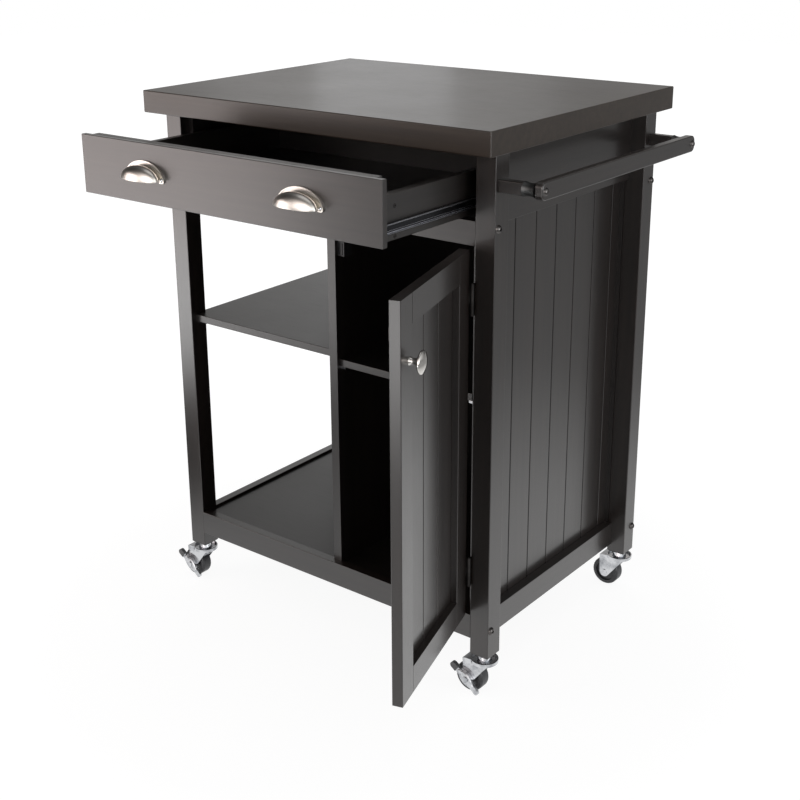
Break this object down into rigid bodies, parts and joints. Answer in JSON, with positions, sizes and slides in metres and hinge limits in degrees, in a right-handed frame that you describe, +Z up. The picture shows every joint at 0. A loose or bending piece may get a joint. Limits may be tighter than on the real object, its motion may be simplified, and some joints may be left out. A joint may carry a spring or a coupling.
{
  "type": "kitchen cart",
  "caption": "Kitchen cart with a drawer, a side towel bar, an open shelf bay and a hinged door cabinet, standing on swivel casters with foot brakes.",
  "frame": {"origin": "bottom centre of the whole cart's bounding box at rest, on the floor under the wheels", "axes": "+Z up, +X to the cart's right towards the towel bar, +Y to the back, so the drawer and the door face -Y"},
  "size_m": [0.765, 0.7578, 0.9],
  "materials": {
    "cart_lacquer": "satin black-brown lacquer on solid wood",
    "worktop_lacquer": "satin black-brown lacquer, a little smoother than the frame",
    "board_lacquer": "satin black-brown lacquer on thin board",
    "drawer_lining": "dark matt board",
    "dark_bolt": "blackened domed heads",
    "grey_metal": "satin grey metal",
    "black_slide": "blackened steel drawer slide",
    "dark_hinge": "blackened steel",
    "black_plastic": "moulded black plastic",
    "zinc_steel": "bright zinc-plated steel",
    "brushed_nickel": "brushed nickel",
    "polished_nickel": "polished nickel",
    "wheel_plastic": "hard grey-black wheel"
  },
  "bodies": {
    "cart": {"worktop": "worktop_lacquer", "drawer_rail_front": "cart_lacquer", "bottom_rail_front": "cart_lacquer", "top_rail_back": "cart_lacquer", "bottom_rail_back": "cart_lacquer", "side_apron_left": "cart_lacquer", "side_apron_right": "cart_lacquer", "side_rail_left": "cart_lacquer", "side_rail_right": "cart_lacquer", "side_panel": "board_lacquer", "back_panel": "board_lacquer", "partition": "cart_lacquer", "bottom_shelf": "cart_lacquer", "open_shelf": "cart_lacquer", "cabinet_shelf": "cart_lacquer", "support_cleats": "cart_lacquer", "shelf_pegs": "zinc_steel", "frame_bolts": "dark_bolt", "barrel_nuts": "zinc_steel", "towel_bar": "cart_lacquer", "towel_arms": "cart_lacquer", "towel_collars": "grey_metal", "towel_screws": "dark_bolt", "slide_channels": "black_slide", "hinge_frame_leaves": "dark_hinge", "magnetic_catch": "black_plastic", "caster_sockets": "black_plastic", "leg_front_left": "cart_lacquer", "leg_front_right": "cart_lacquer", "leg_back_left": "cart_lacquer", "leg_back_right": "cart_lacquer"},
    "drawer": {"drawer_front": "cart_lacquer", "drawer_inner_front": "cart_lacquer", "drawer_side_left": "cart_lacquer", "drawer_side_right": "cart_lacquer", "drawer_back": "cart_lacquer", "drawer_bottom": "drawer_lining", "drawer_cams": "zinc_steel", "slide_runners": "black_slide", "cup_pull_left": "brushed_nickel", "cup_pull_right": "brushed_nickel", "pull_screws": "brushed_nickel"},
    "door": {"door_stile_free": "cart_lacquer", "door_stile_hinge": "cart_lacquer", "door_rails": "cart_lacquer", "door_panel": "board_lacquer", "door_knob": "polished_nickel", "knob_screw": "zinc_steel", "hinge_door_leaves": "dark_hinge", "strike_plate": "zinc_steel"},
    "swivel_front_left": {"caster_fork_front_left": "zinc_steel"},
    "wheel_front_left": {"caster_wheel_front_left": "wheel_plastic"},
    "lever_front_left": {"brake_lever_front_left": "zinc_steel"},
    "swivel_front_right": {"caster_fork_front_right": "zinc_steel"},
    "wheel_front_right": {"caster_wheel_front_right": "wheel_plastic"},
    "lever_front_right": {"brake_lever_front_right": "zinc_steel"},
    "swivel_back_left": {"caster_fork_back_left": "zinc_steel"},
    "wheel_back_left": {"caster_wheel_back_left": "wheel_plastic"},
    "swivel_back_right": {"caster_fork_back_right": "zinc_steel"},
    "wheel_back_right": {"caster_wheel_back_right": "wheel_plastic"}
  },
  "joints": [
    {"name": "drawer_slide", "type": "slide", "parent": "cart", "child": "drawer", "axis": [0, -1, 0], "range_m": [-0.2058, 0.09]},
    {"name": "door_hinge", "type": "hinge", "parent": "cart", "child": "door", "pos_m": [0.2722, -0.1174, 0.434], "axis": [0, 0, 1], "range_deg": [-106.3, 63.7]},
    {"name": "swivel_turn_front_left", "type": "hinge", "parent": "cart", "child": "swivel_front_left", "pos_m": [-0.3316, -0.09665, 0.0714], "axis": [0, 0, 1], "continuous": true},
    {"name": "wheel_spin_front_left", "type": "hinge", "parent": "swivel_front_left", "child": "wheel_front_left", "pos_m": [-0.3536, -0.09665, 0.025], "axis": [0, 1, 0], "continuous": true},
    {"name": "brake_press_front_left", "type": "hinge", "parent": "swivel_front_left", "child": "lever_front_left", "pos_m": [-0.3536, -0.11815, 0.025], "axis": [0, -1, 0], "range_deg": [0, 14]},
    {"name": "swivel_turn_front_right", "type": "hinge", "parent": "cart", "child": "swivel_front_right", "pos_m": [0.29, -0.09665, 0.0714], "axis": [0, 0, 1], "continuous": true},
    {"name": "wheel_spin_front_right", "type": "hinge", "parent": "swivel_front_right", "child": "wheel_front_right", "pos_m": [0.268, -0.09665, 0.025], "axis": [0, 1, 0], "continuous": true},
    {"name": "brake_press_front_right", "type": "hinge", "parent": "swivel_front_right", "child": "lever_front_right", "pos_m": [0.268, -0.11815, 0.025], "axis": [0, -1, 0], "range_deg": [0, 14]},
    {"name": "swivel_turn_back_left", "type": "hinge", "parent": "cart", "child": "swivel_back_left", "pos_m": [-0.3316, 0.33525, 0.0714], "axis": [0, 0, 1], "continuous": true},
    {"name": "wheel_spin_back_left", "type": "hinge", "parent": "swivel_back_left", "child": "wheel_back_left", "pos_m": [-0.3536, 0.33525, 0.025], "axis": [0, 1, 0], "continuous": true},
    {"name": "swivel_turn_back_right", "type": "hinge", "parent": "cart", "child": "swivel_back_right", "pos_m": [0.29, 0.33525, 0.0714], "axis": [0, 0, 1], "continuous": true},
    {"name": "wheel_spin_back_right", "type": "hinge", "parent": "swivel_back_right", "child": "wheel_back_right", "pos_m": [0.268, 0.33525, 0.025], "axis": [0, 1, 0], "continuous": true}
  ]
}
